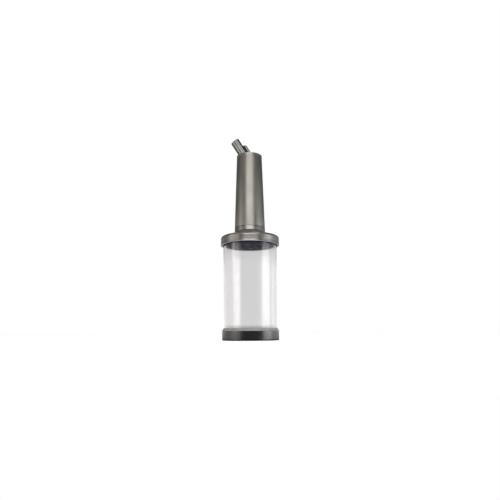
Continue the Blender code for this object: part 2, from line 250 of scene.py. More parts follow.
class LidSettings(bpy.types.PropertyGroup):
    """Sizes and colours of the lid and its gasket."""

    skirt_depth: length("Skirt depth", "Depth of the skirt under the lid's ceiling", 0.0111)
    shoulder: length("Shoulder", "Radius of the lid's rounded shoulder", 0.0038)
    edge_thickness: length("Edge thickness", "Thickness of the lid's top at its edge", 0.0025)
    crown_rise: length("Crown rise", "Rise of the crown from the shoulder to the seat", 0.0039)
    crown_wall: length("Crown wall", "Thickness of the crown", 0.0025)
    draft: length("Draft", "How much narrower the skirt is at its top", 0.0002)
    bead: length("Bead", "How far the bead at the skirt's foot stands out", 0.0004)
    bead_height: length("Bead height", "Height of the bead at the skirt's foot", 0.0015)
    groove_depth: length("Groove depth", "Depth of the fine grooves round the skirt", 0.00022)
    groove_width: length("Groove width", "Width of the fine grooves round the skirt", 0.0011)
    boss_wall: length("Boss wall", "Thickness of the boss that the neck screws onto", 0.0020)
    # Inside the lid the very dark navy is partly the bare plastic's colour and partly painted shade
    inner_colour: tint("Inner colour", "Colour inside the lid: the bare plastic's navy, darkened as painted shade", (0.005, 0.007, 0.072))
    bore_colour: tint("Bore colour", "Colour of the bare boss and of the neck's bore", (0.014, 0.014, 0.017))
    gasket_colour: tint("Gasket colour", "Colour of the gasket", (0.028, 0.034, 0.062))


class NeckSettings(bpy.types.PropertyGroup):
    """Sizes of the neck, and the finish that it shares with the lid."""

    foot_wall: length("Foot wall", "Thickness of the wall round the thread", 0.0017)
    shoulder_wall: length("Shoulder wall", "Thickness of the wall above the thread", 0.0038)
    top_wall: length("Top wall", "Thickness of the wall round the stopper", 0.00245)
    thread_socket: length("Thread socket", "Depth of the threaded socket at the foot", 0.0115)
    plug_socket: length("Stopper socket", "Depth of the stopper's socket at the top", 0.0362)
    edge: length("Edge", "Radius of the neck's outer edges", 0.0002)
    colour: tint("Colour", "Colour of the metallic coat", (0.392, 0.376, 0.350))
    roughness: share("Roughness", "Roughness of the metallic coat", 0.37)
    seal_colour: tint("Seal colour", "Colour of the black rubber seals", (0.022, 0.022, 0.021))


class PourerSettings(bpy.types.PropertyGroup):
    """Sizes of the stopper and its two tubes."""

    flange: length("Flange", "Thickness of the stopper's flange", 0.0042)
    edge: length("Flange edge", "Radius of the flange's rounded edge", 0.00025)
    draft: length("Flange draft", "How far the flange's foot stands back from its widest line", 0.0001)
    clearance: length("Clearance", "Gap between the stopper and the neck's bore", 0.0010)
    groove: length("Seal groove", "Depth of each seal's groove", 0.0010)
    tube_fit: length("Tube fit", "Gap round each tube in the stopper", 0.00003)
    pour_swell: length("Pour tube swell", "How much the pour tube's radius is over the solid's", 0.00025)
    air_swell: length("Air tube swell", "How much the air tube's radius is over the solid's", 0.00025)
    air_shift: length("Air tube shift", "How much nearer the air tube stands to the pour tube", 0.0002)
    pour_wall: length("Pour tube wall", "Thickness of the pour tube's wall", 0.0006)
    air_wall: length("Air tube wall", "Thickness of the air tube's wall", 0.0004)
    bend_radius: length("Bend radius", "Radius of the pour tube's bend, at its axis", 0.0200)
    bend_drop: length("Bend drop", "How far under the neck's top the bend starts", 0.01306)
    reach: length("Reach", "Length of the straight stretch above the bend", 0.0358)
    lean: bpy.props.FloatProperty(
        name="Lean",
        description="Angle between the tubes' upper stretch and the bottle's axis",
        default=math.radians(32.4),
        subtype="ANGLE",
    )
    colour: tint("Colour", "Colour of the polished steel", (0.225, 0.223, 0.218))
    roughness: share("Roughness", "Roughness of the polished steel", 0.235)


class StageSettings(bpy.types.PropertyGroup):
    """The camera, the lamps and the floor."""

    camera_distance: length("Camera distance", "From the camera to the bottle's axis", 0.700)
    camera_height: length("Camera height", "Height of the camera above the floor", 0.0147)
    ambient: share("Ambient", "Plain light from all round", 0.7)
    room: share("Room", "How bright the room's upper part is in reflections", 0.06)
    low_wall: glow("Low wall", "low wall round the table, as reflections show it", 0.24)
    key_glow: glow("Key lamp", "broad lamp in front", 0.54)
    key_side_glow: glow("Key side lamp", "lamp at the key's left", 0.36)
    high_glow: glow("High lamp", "high lamp in front", 0.28)
    high_left_glow: glow("High left lamp", "high lamp at the left", 0.50)
    high_right_glow: glow("High right lamp", "high lamp at the right", 0.75)
    top_glow: glow("Top lamp", "lamp above the bottle", 0.14)
    left_glow: glow("Left lamp", "low lamp at the left", 0.45)
    left_tall_glow: glow("Left tall lamp", "narrow lamp at the left", 0.32)
    right_glow: glow("Right lamp", "low lamp at the right", 1.0)
    right_back_glow: glow("Right back lamp", "low lamp behind the right", 0.20)
    back_glow: glow("Back lamp", "high lamp behind the bottle", 0.35)
    warm: tint("Warm light", "Light of most lamps", (1.0, 0.975, 0.935))
    amber: tint("Amber light", "Light of the low lamp at the left", (1.0, 0.975, 0.870))
    cool: tint("Cool light", "Light of the lamps at the right", (0.95, 0.97, 1.0))
    floor_colour: tint("Floor colour", "Colour of the pale floor", (0.15, 0.15, 0.15))


class BottleSettings(bpy.types.PropertyGroup):
    """Everything about the bottle that a user would change."""

    base: bpy.props.PointerProperty(type=BaseSettings)
    container: bpy.props.PointerProperty(type=ContainerSettings)
    lid: bpy.props.PointerProperty(type=LidSettings)
    neck: bpy.props.PointerProperty(type=NeckSettings)
    pourer: bpy.props.PointerProperty(type=PourerSettings)
    stage: bpy.props.PointerProperty(type=StageSettings)


class Thread:
    """A helical ridge on a turned wall. It stands from the wall by depth, inwards where depth is negative."""

    def __init__(self, wall, depth, foot, pitch, turns, root, crest, start=0.0):
        self.wall, self.depth, self.foot, self.pitch, self.turns = wall, depth, foot, pitch, turns
        self.root, self.crest, self.start = root, crest, start

    def low(self):
        """Height of the ridge's lower end."""
        return self.foot + self.pitch * self.start - self.root / 2

    def high(self):
        """Height of the ridge's upper end."""
        return self.foot + self.pitch * (self.start + self.turns) + self.root / 2

    def rise(self, angle, height):
        """How far the wall moves at a place, in metres. The ridge's flanks are eased."""
        flank = (self.root - self.crest) / 2
        most = 0.0
        first = math.floor(self.start) - 1
        for whole in range(first, first + math.ceil(self.turns) + 3):
            turn = whole + angle / math.tau
            run = min(turn - self.start, self.start + self.turns - turn)
            if run <= 0.0:
                continue
            off = abs(height - self.foot - self.pitch * turn)
            body = min(1.0, max(0.0, (self.root / 2 - off) / flank))
            most = max(most, body * min(1.0, run / THREAD_RUN_OUT))
        return self.depth * most * most * (3.0 - 2.0 * most)

    def rows(self, limit):
        """Points of the wall along the ridge, up to the limit, close enough to carry it."""
        low, high = self.low(), min(self.high(), limit)
        count = math.ceil((high - low) / THREAD_ROW)
        return [(self.wall, low + (high - low) * k / count) for k in range(count + 1)]


def mouth_threads():
    """The container's thread and the lid's, which lies under it."""
    wall = CONTAINER_BOX[1].x - MOUTH_DEPTH
    foot = CONTAINER_BOX[1].z - MOUTH_DROP - MOUTH_PITCH * MOUTH_TURNS
    form = (MOUTH_PITCH, MOUTH_TURNS, MOUTH_ROOT, MOUTH_CREST)
    lid_wall = CONTAINER_BOX[1].x + THREAD_CLEARANCE
    lid_foot = foot - (MOUTH_ROOT + MOUTH_CREST) / 2 - THREAD_PLAY
    start = (LID_BOX[0].z + MOUTH_LEAD_IN - lid_foot) / MOUTH_PITCH
    return Thread(wall, MOUTH_DEPTH, foot, *form), Thread(lid_wall, -MOUTH_DEPTH, lid_foot, *form, start)


def neck_threads(neck_bore):
    """The boss's thread and the neck's, which lies under it."""
    wall = neck_bore - THREAD_CLEARANCE - NECK_DEPTH
    foot = NECK_BOX[0].z + NECK_RISE
    form = (NECK_PITCH, NECK_TURNS, NECK_ROOT, NECK_CREST)
    neck_foot = foot - (NECK_ROOT + NECK_CREST) / 2 - THREAD_PLAY
    start = (NECK_BOX[0].z + NECK_LEAD_IN - neck_foot) / NECK_PITCH
    return Thread(wall, NECK_DEPTH, foot, *form), Thread(neck_bore, -NECK_DEPTH, neck_foot, *form, start)


def arc(centre_radius, centre_height, radius, start, end, steps=ROUND_STEPS):
    """Points of an outline's round stretch, from start to end degrees, 0 pointing away from the axis."""
    points = []
    for step in range(steps + 1):
        angle = math.radians(start + (end - start) * step / steps)
        points.append((centre_radius + radius * math.cos(angle), centre_height + radius * math.sin(angle)))
    return points


def ring_outline(box, bore, top_radius, soft):
    """A ring as high as its box: a plain bore, and an outer side with rounded edges."""
    low, high = box
    return [
        (bore, low.z),
        *arc(high.x - soft, low.z + soft, soft, -90, 0),
        *arc(top_radius - soft, high.z - soft, soft, 0, 90),
        (bore, high.z),
    ]


def settings():
    """The bottle's sizes and colours."""
    return bpy.context.scene.pour_bottle


def add_piece(name, bm, *materials):
    """Turns a bmesh into a smooth object with sharp edges where its faces meet at an angle."""
    bmesh.ops.recalc_face_normals(bm, faces=bm.faces)
    mesh = bpy.data.meshes.new(name)
    bm.to_mesh(mesh)
    bm.free()
    mesh.shade_smooth()
    mesh.set_sharp_from_angle(angle=SHARP_ANGLE)
    for material in materials:
        mesh.materials.append(material)
    piece = bpy.data.objects.new(name, mesh)
    bpy.context.scene.collection.objects.link(piece)
    return piece


def weigh_normals(piece):
    """Keeps broad faces evenly shaded beside their narrow rounded edges."""
    modifier = piece.modifiers.new("weighted_normals", "WEIGHTED_NORMAL")
    modifier.keep_sharp = True


def turned(name, outline, *materials, threads=(), second=None):
    """Spins an outline of (radius, height) points round Z.

    Material 1 is for the faces from the stretch second on, without the one that closes the outline.
    """
    bm = bmesh.new()
    rings = []
    for radius, height in outline:
        if radius < NEAR:
            rings.append([bm.verts.new((0.0, 0.0, height))] * SEGMENTS)
            continue
        ring = []
        for k in range(SEGMENTS):
            angle = math.tau * k / SEGMENTS
            across = radius
            for thread in threads:
                if abs(radius - thread.wall) < NEAR and thread.low() < height < thread.high():
                    across += thread.rise(angle, height)
            ring.append(bm.verts.new((across * math.cos(angle), across * math.sin(angle), height)))
        rings.append(ring)
    pairs = [(i, i + 1) for i in range(len(rings) - 1)]
    if outline[0][0] > NEAR:
        pairs.append((len(rings) - 1, 0))
    for i, j in pairs:
        for k in range(SEGMENTS):
            n = (k + 1) % SEGMENTS
            corners = dict.fromkeys((rings[i][k], rings[i][n], rings[j][n], rings[j][k]))
            face = bm.faces.new(list(corners))
            if second and second <= i < len(outline) - 1:
                face.material_index = 1
    piece = add_piece(name, bm, *materials)
    weigh_normals(piece)
    return piece


def seat(piece, body, slot, *nodes):
    """Rides the piece on its body and hides the solids that it stands for."""
    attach(piece, body)
    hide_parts(*nodes)


def opaque(colour, factor=1.0):
    """A colour made darker or lighter, as a socket takes it."""
    return (*(min(1.0, part * factor) for part in colour), 1.0)


class Graph:
    """A node tree under construction, with short calls for nodes that finishes, lamps and world share."""

    def __init__(self, tree):
        self.nodes, self.links = tree.nodes, tree.links

    def put(self, value, socket):
        """Another node's output or a plain value on a socket."""
        if isinstance(value, bpy.types.NodeSocket):
            self.links.new(value, socket)
        else:
            socket.default_value = value

    def join(self, operation, first, second=0.0):
        """An operation on two values."""
        node = self.nodes.new("ShaderNodeMath")
        node.operation = operation
        self.put(first, node.inputs[0])
        self.put(second, node.inputs[1])
        return node.outputs["Value"]

    def between(self, factor, first, second, kind="RGBA"):
        """A mix of two colours, or of two values where kind is FLOAT, by a factor from 0 to 1."""
        node = self.nodes.new("ShaderNodeMix")
        node.data_type = kind
        for name, value in (("Factor", factor), ("A", first), ("B", second)):
            self.put(value, node.inputs[name])
        return node.outputs["Result"]

    def spread(self, value, low, high, start=0.3, end=0.7, eased=False):
        """Maps a value from the range between start and end, which suits a noise, to low and high."""
        node = self.nodes.new("ShaderNodeMapRange")
        node.interpolation_type = "SMOOTHSTEP" if eased else "LINEAR"
        for name, number in zip(("From Min", "From Max", "To Min", "To Max"), (start, end, low, high)):
            node.inputs[name].default_value = number
        self.put(value, node.inputs["Value"])
        return node.outputs["Result"]

    def parts(self, kind, output):
        """The X, Y and Z of a node's coordinates."""
        node = self.nodes.new("ShaderNodeSeparateXYZ")
        self.put(self.nodes.new(kind).outputs[output], node.inputs["Vector"])
        return node.outputs


class Finish(Graph):
    """A material under construction."""

    def __init__(self, name):
        self.material = bpy.data.materials.new(name)
        self.material.use_nodes = True
        super().__init__(self.material.node_tree)
        self.shader = self.nodes["Principled BSDF"]

    def feed(self, **values):
        """Values or outputs on the shader's sockets. An underscore in a name stands for a space."""
        for name, value in values.items():
            self.put(value, self.shader.inputs[name.replace("_", " ")])
        return self

    def place(self, stretch=(1.0, 1.0, 1.0), attribute=None):
        """The piece's own coordinates in metres, stretched."""
        if attribute:
            source = self.nodes.new("ShaderNodeAttribute")
            source.attribute_name = attribute
            out = source.outputs["Vector"]
        else:
            out = self.nodes.new("ShaderNodeTexCoord").outputs["Object"]
        mapping = self.nodes.new("ShaderNodeMapping")
        mapping.inputs["Scale"].default_value = stretch
        self.put(out, mapping.inputs["Vector"])
        return mapping.outputs["Vector"]

    def noise(self, size, place, detail=3.0):
        """A noise whose blotches are about size metres across."""
        node = self.nodes.new("ShaderNodeTexNoise")
        node.inputs["Scale"].default_value = 1.0 / size
        node.inputs["Detail"].default_value = detail
        self.put(place, node.inputs["Vector"])
        return node.outputs["Fac"]

    def shades(self, noise, colour, darkest, lightest):
        """A colour that varies with a noise between two shares of itself."""
        return self.between(self.spread(noise, 0.0, 1.0), opaque(colour, darkest), opaque(colour, lightest))

    def satin(self, noise, roughness, less=0.03, more=0.05):
        """A roughness that varies with a noise."""
        return self.spread(noise, roughness - less, roughness + more)

    def above(self, height):
        """1 over a height on the piece and 0 under it, for the border between two colours."""
        here = self.parts("ShaderNodeTexCoord", "Object")["Z"]
        return self.spread(here, 0.0, 1.0, height - COLOUR_EDGE, height + COLOUR_EDGE)

    def distance(self, place):
        """Distance on the piece from a place, in metres."""
        node = self.nodes.new("ShaderNodeVectorMath")
        node.operation = "DISTANCE"
        node.inputs[1].default_value = place
        self.put(self.nodes.new("ShaderNodeTexCoord").outputs["Object"], node.inputs[0])
        return node.outputs["Value"]

    def bump(self, height, depth):
        """Relief of the given depth in metres on the shader's normal."""
        node = self.nodes.new("ShaderNodeBump")
        node.inputs["Strength"].default_value = 1.0
        node.inputs["Distance"].default_value = depth
        self.put(height, node.inputs["Height"])
        self.put(node.outputs["Normal"], self.shader.inputs["Normal"])


def metallic_coat(name="metallic_coat", gloss=0.0):
    """Satin warm-grey coat with fine flakes and faint handling marks. Gloss is taken off its roughness."""
    neck = settings().neck
    finish = Finish(name).feed(Metallic=1.0)
    flakes = finish.noise(FLAKE, finish.place(), detail=2.0)
    marks = finish.noise(HANDLING_MARK, finish.place((1.0, 1.0, 0.6)), detail=4.0)
    finish.feed(
        Base_Color=finish.shades(flakes, neck.colour, 0.93, 1.07),
        Roughness=finish.satin(marks, neck.roughness - gloss),
    )
    finish.bump(flakes, depth=0.000012)
    return finish.material


def trim_coat():
    """The same coat, a little glossier, on the lid and the trim ring."""
    return metallic_coat("trim_coat", TRIM_GLOSS)


def bare_dark_plastic():
    """The uncoated inside of lid and neck, with a faint orange peel. Under the lid's crown it is a very dark
    navy, partly the plastic's own colour and partly painted shade.
    """
    lid = settings().lid
    finish = Finish("bare_dark_plastic").feed(IOR=1.5, Specular_IOR_Level=0.25)
    peel = finish.noise(PEEL, finish.place())
    blotches = finish.noise(BLOTCH, finish.place())
    # Under the crown: very dark navy, partly painted shade inside the lid
    navy_and_shade = finish.shades(blotches, lid.inner_colour, 0.85, 1.15)
    grey = finish.shades(blotches, lid.bore_colour, 0.85, 1.15)
    crown = LID_BOX[0].z + lid.skirt_depth + lid.edge_thickness
    finish.feed(
        Base_Color=finish.between(finish.above(crown), navy_and_shade, grey),
        Roughness=finish.satin(peel, BARE_ROUGHNESS, 0.04, 0.04),
    )
    finish.bump(peel, depth=0.00003)
    return finish.material


def base_plastic():
    """Dark satin plastic with a fine moulded grain and rubbed patches. Its shoulder is painted pale, a
    painted highlight of the light from above.
    """
    base = settings().base
    finish = Finish("base_plastic").feed(IOR=1.7, Specular_IOR_Level=0.9)
    grain = finish.noise(MOULD_GRAIN, finish.place())
    rubs = finish.noise(RUBBED_PATCH, finish.place((1.0, 1.0, 2.0)), detail=4.0)
    # Over the wall's top the shoulder takes the pale colour, a painted highlight
    shoulder = finish.above(base.wall_top)
    dark = finish.shades(rubs, base.colour, 0.9, 1.2)
    painted_highlight = finish.shades(rubs, base.rub, 0.85, 1.15)
    satin = finish.satin(rubs, base.roughness)
    matt = finish.satin(rubs, base.rub_roughness)
    finish.feed(
        Base_Color=finish.between(shoulder, dark, painted_highlight),
        Roughness=finish.between(shoulder, satin, matt, "FLOAT"),
    )
    finish.bump(grain, depth=0.000025)
    return finish.material


def clear_plastic():
    """Clear polished plastic with a breath of haze, tinted darker just over the cup as painted shade. Lamps
    shine through it, a little dimmed.
    """
    container = settings().container
    finish = Finish("clear_plastic").feed(IOR=1.47, Transmission_Weight=1.0)
    top = BASE_BOX[1].z
    height = finish.parts("ShaderNodeTexCoord", "Object")["Z"]
    # Painted shade: a darker tint just over the cup, fading out upwards
    fade = finish.spread(height, 0.0, 1.0, top, top + container.joint_fade)
    haze = finish.noise(HAZE, finish.place((1.0, 1.0, 0.4)), detail=4.0)
    finish.feed(
        Base_Color=finish.between(fade, opaque(container.joint), opaque(container.colour)),
        Roughness=finish.satin(haze, container.roughness, 0.0, 0.02),
    )
    finish.bump(finish.noise(RIPPLE, finish.place((1.0, 1.0, 0.25)), detail=1.0), depth=0.00004)
    through = finish.nodes.new("ShaderNodeBsdfTransparent")
    through.inputs["Color"].default_value = opaque(container.colour)
    mix = finish.nodes.new("ShaderNodeMixShader")
    finish.put(finish.nodes.new("ShaderNodeLightPath").outputs["Is Shadow Ray"], mix.inputs["Fac"])
    finish.put(finish.shader.outputs["BSDF"], mix.inputs[1])
    finish.put(through.outputs["BSDF"], mix.inputs[2])
    finish.put(mix.outputs["Shader"], finish.nodes["Material Output"].inputs["Surface"])
    return finish.material


def rubber(name, colour):
    """Soft dull rubber with a fine moulded grain."""
    finish = Finish(name).feed(IOR=1.5)
    grain = finish.noise(RUBBER_GRAIN, finish.place())
    finish.feed(
        Base_Color=finish.shades(grain, colour, 0.85, 1.2),
        Roughness=finish.spread(grain, *RUBBER_ROUGHNESS),
    )
    finish.bump(grain, depth=0.00003)
    return finish.material


def seal_rubber():
    """The black rubber of the seals."""
    return rubber("seal_rubber", settings().neck.seal_colour)


def polished_steel():
    """Drawn and polished tube, with faint lines along its length."""
    pourer = settings().pourer
    finish = Finish("polished_steel").feed(Metallic=1.0)
    lines = finish.noise(DRAWN_LINE, finish.place((1.0, 1.0, 0.03), GRAIN))
    smears = finish.noise(STEEL_SMEAR, finish.place())
    finish.feed(
        Base_Color=finish.shades(lines, pourer.colour, 0.92, 1.06),
        Roughness=finish.satin(smears, pourer.roughness, 0.03, 0.06),
    )
    finish.bump(lines, depth=0.000002)
    return finish.material


def ready(make):
    """The material that has the function's name, made on first use."""
    return bpy.data.materials.get(make.__name__) or make()


class POUR_BOTTLE_OT_base(bpy.types.Operator):
    """Make the dark base cup that the container is pressed into"""

    bl_idname = "pour_bottle.base"
    bl_label = "Base cup"

    def execute(self, context):
        base = settings().base
        radius, top = BASE_BOX[1].x, BASE_BOX[1].z
        bore = radius - base.wall
        rim_bore = radius - base.edge - base.rim
        soft = base.lip / 2
        outline = [
            (0.0, base.recess),
            (rim_bore - base.recess, base.recess),
            (rim_bore, 0.0),
            *arc(radius - base.edge, base.edge, base.edge, -90, 0),
            *arc(radius - soft, base.wall_top - soft, soft, 0, LIP_BEND),
            (bore + base.lip, top),
            (bore, top),
            (bore, base.floor),
            (0.0, base.floor),
        ]
        piece = turned("base_shell", outline, base_plastic())
        seat(piece, "container_body", "base_plastic", "base_cup")
        return {"FINISHED"}


class POUR_BOTTLE_OT_container(bpy.types.Operator):
    """Make the clear container with its threaded mouth"""

    bl_idname = "pour_bottle.container"
    bl_label = "Container"

    def execute(self, context):
        container = settings().container
        thread, _ = mouth_threads()
        radius, foot, rim = thread.wall, CONTAINER_BOX[0].z, CONTAINER_BOX[1].z
        bore, floor, edge = radius - container.wall, foot + container.floor, container.rim_edge
        foot_round, floor_round = container.foot_round, container.floor_round
        outline = [
            (0.0, foot),
            *arc(radius - foot_round, foot + foot_round, foot_round, -90, 0),
            *thread.rows(rim - edge),
            *arc(radius - edge, rim - edge, edge, 0, 90),
            *arc(bore + edge, rim - edge, edge, 90, 180),
            *arc(bore - floor_round, floor + floor_round, floor_round, 0, -90),
            (0.0, floor),
        ]
        piece = turned("clear_container", outline, clear_plastic(), threads=[thread])
        seat(piece, "container_body", "clear_plastic", "container")
        return {"FINISHED"}


class POUR_BOTTLE_OT_lid(bpy.types.Operator):
    """Make the screw lid with its boss, and the gasket in it"""

    bl_idname = "pour_bottle.lid"
    bl_label = "Lid and gasket"

    def skirt(self, lid, radius, foot, edge_top):
        """The skirt's outer side, from its foot to the crown: a bead, two fine grooves and the shoulder."""
        soft, shoulder = lid.bead / 2, lid.shoulder
        points = [
            (radius, foot),
            *arc(radius + soft, foot + soft, soft, -90, 0, BEAD_STEPS),
            (radius + lid.bead * BEAD_CREST, foot + lid.bead_height - soft),
            (radius, foot + lid.bead_height),
        ]
        for middle in GROOVES:
            height, half = foot + middle, lid.groove_width / 2
            for step in range(-GROOVE_STEPS, GROOVE_STEPS + 1):
                along = step / GROOVE_STEPS
                dip = lid.groove_depth * (0.5 + 0.5 * math.cos(math.pi * along))
                rise = (height + half * along - foot) / (edge_top - shoulder - foot)
                points.append((radius - dip - lid.draft * rise, height + half * along))
        centre = (radius - lid.draft - shoulder, edge_top - shoulder)
        return points + arc(*centre, shoulder, 0, SHOULDER_BEND, SHOULDER_STEPS)

    def execute(self, context):
        lid = settings().lid
        neck_bore = NECK_BOX[1].x - settings().neck.foot_wall
        boss_thread, _ = neck_threads(neck_bore)
        _, thread = mouth_threads()
        radius = LID_BOX[1].x - lid.bead
        foot, ceiling, boss_top = LID_BOX[0].z, LID_BOX[0].z + lid.skirt_depth, LID_BOX[1].z
        edge_top = ceiling + lid.edge_thickness
        seat_height = edge_top + lid.crown_rise
        seat_radius = TRIM_BOX[1].x + SEAT_MARGIN
        boss_bore = boss_thread.wall - lid.boss_wall
        under = seat_height - lid.crown_wall
        outside = [
            *self.skirt(lid, radius, foot, edge_top),
            (seat_radius, seat_height),
            (boss_thread.wall, seat_height),
        ]
        inside = [
            *boss_thread.rows(boss_top - BOSS_EDGE),
            *arc(boss_thread.wall - BOSS_EDGE, boss_top - BOSS_EDGE, BOSS_EDGE, 0, 90),
            (boss_bore, boss_top),
            (boss_bore, under),
            (boss_thread.wall, under),
            (GASKET_BOX[1].x - GASKET_WIDTH - GAP, ceiling),
            (thread.wall, ceiling),
            *reversed(thread.rows(ceiling - NEAR)),
            (thread.wall, foot),
        ]
        piece = turned(
            "lid_shell",
            outside + inside,
            ready(trim_coat),
            ready(bare_dark_plastic),
            threads=[thread, boss_thread],
            second=len(outside) - 1,
        )
        seat(piece, "lid_body", "metallic_plastic", "lid")

        low, high = GASKET_BOX
        outer, inner, soft = high.x, high.x - GASKET_WIDTH, GASKET_EDGE
        ring = [
            *arc(inner + soft, low.z + soft, soft, 180, 270),
            *arc(outer - soft, low.z + soft, soft, 270, 360),
            *arc(outer - soft, high.z - soft, soft, 0, 90),
            *arc(inner + soft, high.z - soft, soft, 90, 180),
        ]
        gasket = turned("rim_gasket", ring, rubber("gasket_rubber", lid.gasket_colour))
        seat(gasket, "gasket_body", "gasket_rubber", "lid_gasket")
        return {"FINISHED"}


class POUR_BOTTLE_OT_neck(bpy.types.Operator):
    """Make the tapered neck with the trim ring and the black seal at its foot"""

    bl_idname = "pour_bottle.neck"
    bl_label = "Neck, trim ring and seal"

    def execute(self, context):
        neck = settings().neck
        foot, top = NECK_BOX[0].z, NECK_BOX[1].z
        foot_radius, top_radius = NECK_BOX[1].x, PLUG_BOX[1].x
        bore, edge = foot_radius - neck.foot_wall, neck.edge
        boss_thread, thread = neck_threads(bore)
        shoulder = foot + neck.thread_socket
        across = foot_radius + (top_radius - foot_radius) * neck.thread_socket / (top - foot)
        socket = top_radius - neck.top_wall
        coat, dark = ready(metallic_coat), ready(bare_dark_plastic)
        outside = [
            (foot_radius - edge, foot),
            *arc(foot_radius - edge, foot + edge, edge, -90, 0)[1:],
            *arc(top_radius - edge, top - edge, edge, 0, 90),
            (socket, top),
        ]
        inside = [
            (socket, top - neck.plug_socket),
            (across - neck.shoulder_wall, shoulder),
            (bore, shoulder),
            *reversed(thread.rows(shoulder - NEAR)),
            (bore, foot),
        ]
        piece = turned("neck_tube", outside + inside, coat, dark, threads=[thread], second=len(outside) - 1)
        seat(piece, "neck_body", "metallic_plastic", "neck")

        trim_bore = boss_thread.wall + NECK_DEPTH + GAP
        ring = ring_outline(TRIM_BOX, trim_bore, foot_radius - TRIM_TAPER, TRIM_EDGE)
        trim = turned("trim_ring", ring, ready(trim_coat))
        seat(trim, "ring_body", "metallic_plastic", "neck_ring")

        ring = ring_outline(SEAL_BOX, boss_thread.wall + GAP, SEAL_BOX[1].x, SEAL_EDGE)
        seal = turned("neck_seal_ring", ring, ready(seal_rubber))
        seat(seal, "lid_body", "seal_rubber", "neck_seal")
        return {"FINISHED"}


def tube_line(offset, foot):
    """Places (centre, side, along, distance) on a tube's line: up, round the bend, then along the lean."""
    pourer = settings().pourer
    radius = pourer.bend_radius + offset
    bend_start = NECK_BOX[1].z + GAP - pourer.bend_drop
    turns = [0.0] + [pourer.lean * step / BEND_STEPS for step in range(BEND_STEPS + 1)] + [pourer.lean]
    centres = [Vector((offset, 0.0, foot))]
    for angle in turns[1:-1]:
        across = radius * math.cos(angle) - pourer.bend_radius
        centres.append(Vector((across, 0.0, bend_start + radius * math.sin(angle))))
    upward = Vector((-math.sin(pourer.lean), 0.0, math.cos(pourer.lean)))
    centres.append(centres[-1] + upward * pourer.reach)
    line, distance = [], 0.0
    for number, (centre, angle) in enumerate(zip(centres, turns)):
        if number:
            distance += (centre - centres[number - 1]).length
        side = Vector((math.cos(angle), 0.0, math.sin(angle)))
        along = Vector((-math.sin(angle), 0.0, math.cos(angle)))
        line.append((centre, side, along, distance))
    return line


def ring_round(bm, place, radius, grain, shift=0.0, level=None):
    """A ring of points round one place on a line, each with its place on the straightened tube."""
    centre, side, along, distance = place
    ring = []
    for k in range(TUBE_SEGMENTS):
        angle = math.tau * k / TUBE_SEGMENTS
        point = centre + side * (radius * math.cos(angle)) + Vector((0.0, radius * math.sin(angle), 0.0))
        if level is not None:
            point += along * ((level - point.z) / along.z)
        vert = bm.verts.new(point + along * shift)
        if grain:
            vert[grain] = (radius * math.cos(angle), radius * math.sin(angle), distance)
        ring.append(vert)
    return ring


def join_rings(bm, rings):
    """Faces between each ring and the next."""
    for ring, after in zip(rings, rings[1:]):
        for k in range(TUBE_SEGMENTS):
            n = (k + 1) % TUBE_SEGMENTS
            bm.faces.new((ring[k], ring[n], after[n], after[k]))


def bent_tube(name, line, radius, wall, material, level=None):
    """A bent tube with an open bore and softened ends. A level cuts its top off at that height."""
    bm = bmesh.new()
    grain = bm.verts.layers.float_vector.new(GRAIN)
    soft = min(TUBE_EDGE, wall / 3)
    outer, inner = radius, radius - wall
    foot, top = line[0], line[-1]
    rings = [ring_round(bm, foot, outer - soft, grain)]
    rings.append(ring_round(bm, foot, outer, grain, soft))
    rings += [ring_round(bm, place, outer, grain) for place in line[1:-1]]
    rings.append(ring_round(bm, top, outer, grain, -soft, level))
    rings.append(ring_round(bm, top, outer - soft, grain, 0.0, level))
    rings.append(ring_round(bm, top, inner + soft, grain, 0.0, level))
    rings.append(ring_round(bm, top, inner, grain, -soft, level))
    rings += [ring_round(bm, place, inner, grain) for place in reversed(line[1:-1])]
    rings.append(ring_round(bm, foot, inner, grain, soft))
    rings.append(ring_round(bm, foot, inner + soft, grain))
    join_rings(bm, rings + rings[:1])
    return add_piece(name, bm, material)


def hole_cutter(name, line, radius):
    """A bent rod that cuts a tube's hole."""
    bm = bmesh.new()
    rings = [ring_round(bm, place, radius, None) for place in line]
    join_rings(bm, rings)
    bm.faces.new(rings[0])
    bm.faces.new(rings[-1])
    return add_piece(name, bm)


